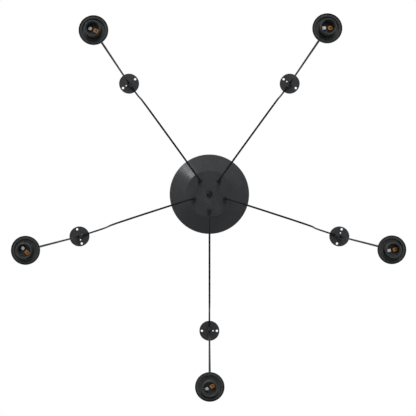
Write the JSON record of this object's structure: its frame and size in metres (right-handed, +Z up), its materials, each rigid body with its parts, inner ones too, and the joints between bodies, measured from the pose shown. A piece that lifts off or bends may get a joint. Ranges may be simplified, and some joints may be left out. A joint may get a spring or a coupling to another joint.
{
  "type": "multi-light pendant",
  "caption": "Black spider pendant light: round ceiling canopy, cords swagged out to small ceiling plates, and an open lamp holder hanging on its cord below each plate.",
  "frame": {"origin": "on the canopy's axis in the ceiling plane, at the middle of the crossbar's two screw slots", "axes": "+Z up into the ceiling, +Y along arm 1, whose plate is the lowest in the picture, +X to the right in the picture"},
  "size_m": [0.8414, 0.8033, 0.553],
  "materials": {
    "black_paint": "satin powder coat",
    "black_plastic": "matt moulded",
    "cord_sheath": "smooth round sheath",
    "zinc_steel": "zinc plated",
    "dark_steel": "blackened",
    "pale_plastic": "moulded",
    "contact_brass": "stamped strip",
    "contact_nickel": "nickel-plated strip"
  },
  "bodies": {
    "root": {"canopy_shell": "black_paint", "ceiling_bracket": "zinc_steel", "centre_stud": "zinc_steel", "stud_nut": "zinc_steel", "canopy_cap_nut": "black_paint", "terminal_block": "pale_plastic", "terminal_screws": "zinc_steel", "cord_grips": "black_plastic", "grip_nuts": "zinc_steel", "clamp_screws": "dark_steel", "feed_cord_1": "cord_sheath", "ceiling_plate_1": "black_paint", "feed_cord_2": "cord_sheath", "ceiling_plate_2": "black_paint", "feed_cord_3": "cord_sheath", "ceiling_plate_3": "black_paint", "feed_cord_4": "cord_sheath", "ceiling_plate_4": "black_paint", "feed_cord_5": "cord_sheath", "ceiling_plate_5": "black_paint"},
    "swing_ring_1": {"outlet_ring_1": "black_plastic"},
    "pendant_1": {"drop_cord_1": "cord_sheath", "cup_gland_1": "black_plastic", "holder_cup_1": "black_paint", "shade_ring_1": "black_plastic", "lamp_socket_1": "black_plastic", "centre_contact_1": "contact_brass", "side_contact_1": "contact_nickel"},
    "swing_ring_2": {"outlet_ring_2": "black_plastic"},
    "pendant_2": {"drop_cord_2": "cord_sheath", "cup_gland_2": "black_plastic", "holder_cup_2": "black_paint", "shade_ring_2": "black_plastic", "lamp_socket_2": "black_plastic", "centre_contact_2": "contact_brass", "side_contact_2": "contact_nickel"},
    "swing_ring_3": {"outlet_ring_3": "black_plastic"},
    "pendant_3": {"drop_cord_3": "cord_sheath", "cup_gland_3": "black_plastic", "holder_cup_3": "black_paint", "shade_ring_3": "black_plastic", "lamp_socket_3": "black_plastic", "centre_contact_3": "contact_brass", "side_contact_3": "contact_nickel"},
    "swing_ring_4": {"outlet_ring_4": "black_plastic"},
    "pendant_4": {"drop_cord_4": "cord_sheath", "cup_gland_4": "black_plastic", "holder_cup_4": "black_paint", "shade_ring_4": "black_plastic", "lamp_socket_4": "black_plastic", "centre_contact_4": "contact_brass", "side_contact_4": "contact_nickel"},
    "swing_ring_5": {"outlet_ring_5": "black_plastic"},
    "pendant_5": {"drop_cord_5": "cord_sheath", "cup_gland_5": "black_plastic", "holder_cup_5": "black_paint", "shade_ring_5": "black_plastic", "lamp_socket_5": "black_plastic", "centre_contact_5": "contact_brass", "side_contact_5": "contact_nickel"}
  },
  "joints": [
    {"name": "swing_out_1", "type": "hinge", "parent": "root", "child": "swing_ring_1", "pos_m": [0, 0.41, -0.012], "axis": [-1, 0, 0], "range_deg": [-20, 20]},
    {"name": "swing_across_1", "type": "hinge", "parent": "swing_ring_1", "child": "pendant_1", "pos_m": [0, 0.41, -0.012], "axis": [0, 1, 0], "range_deg": [-15, 15]},
    {"name": "swing_out_2", "type": "hinge", "parent": "root", "child": "swing_ring_2", "pos_m": [-0.38993, 0.1267, -0.012], "axis": [-0.309, -0.9511, 0], "range_deg": [-20, 20]},
    {"name": "swing_across_2", "type": "hinge", "parent": "swing_ring_2", "child": "pendant_2", "pos_m": [-0.38993, 0.1267, -0.012], "axis": [-0.9511, 0.309, 0], "range_deg": [-15, 15]},
    {"name": "swing_out_3", "type": "hinge", "parent": "root", "child": "swing_ring_3", "pos_m": [-0.24099, -0.3317, -0.012], "axis": [0.809, -0.5878, 0], "range_deg": [-20, 20]},
    {"name": "swing_across_3", "type": "hinge", "parent": "swing_ring_3", "child": "pendant_3", "pos_m": [-0.24099, -0.3317, -0.012], "axis": [-0.5878, -0.809, 0], "range_deg": [-15, 15]},
    {"name": "swing_out_4", "type": "hinge", "parent": "root", "child": "swing_ring_4", "pos_m": [0.24099, -0.3317, -0.012], "axis": [0.809, 0.5878, 0], "range_deg": [-20, 20]},
    {"name": "swing_across_4", "type": "hinge", "parent": "swing_ring_4", "child": "pendant_4", "pos_m": [0.24099, -0.3317, -0.012], "axis": [0.5878, -0.809, 0], "range_deg": [-15, 15]},
    {"name": "swing_out_5", "type": "hinge", "parent": "root", "child": "swing_ring_5", "pos_m": [0.38993, 0.1267, -0.012], "axis": [-0.309, 0.9511, 0], "range_deg": [-20, 20]},
    {"name": "swing_across_5", "type": "hinge", "parent": "swing_ring_5", "child": "pendant_5", "pos_m": [0.38993, 0.1267, -0.012], "axis": [0.9511, 0.309, 0], "range_deg": [-15, 15]}
  ]
}
